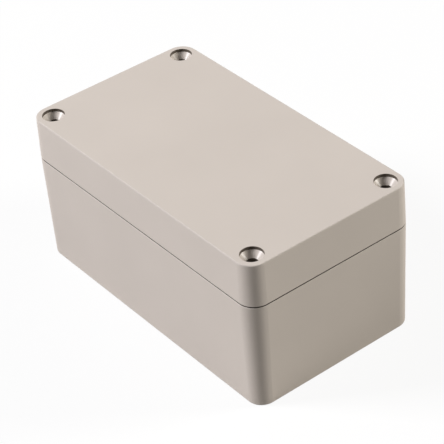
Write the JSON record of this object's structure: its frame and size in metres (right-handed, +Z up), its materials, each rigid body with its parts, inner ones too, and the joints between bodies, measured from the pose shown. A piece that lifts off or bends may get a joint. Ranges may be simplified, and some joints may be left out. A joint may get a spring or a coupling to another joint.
{
  "type": "plastic enclosure",
  "caption": "Deep rectangular sealed plastic enclosure with rounded drafted walls and a lift-off lid that has countersunk screw holes, a gasket, board bosses and threaded inserts.",
  "frame": {"origin": "middle of the flat underside", "axes": "+X along the length, +Y across the width from the front to the rear, +Z up through the lid"},
  "size_m": [0.115, 0.065, 0.055],
  "materials": {
    "base_shell": "satin moulded",
    "lid_shell": "satin moulded",
    "seal": "soft matte",
    "insert": "turned"
  },
  "bodies": {
    "base": {"base": "base_shell", "insert_rear_right": "insert", "insert_rear_left": "insert", "insert_front_left": "insert", "insert_front_right": "insert"},
    "lid": {"lid": "lid_shell", "gasket": "seal"}
  },
  "joints": [
    {"name": "lid_lift", "type": "slide", "parent": "base", "child": "lid", "axis": [0, 0, 1], "range_m": [0, 0.06]}
  ]
}
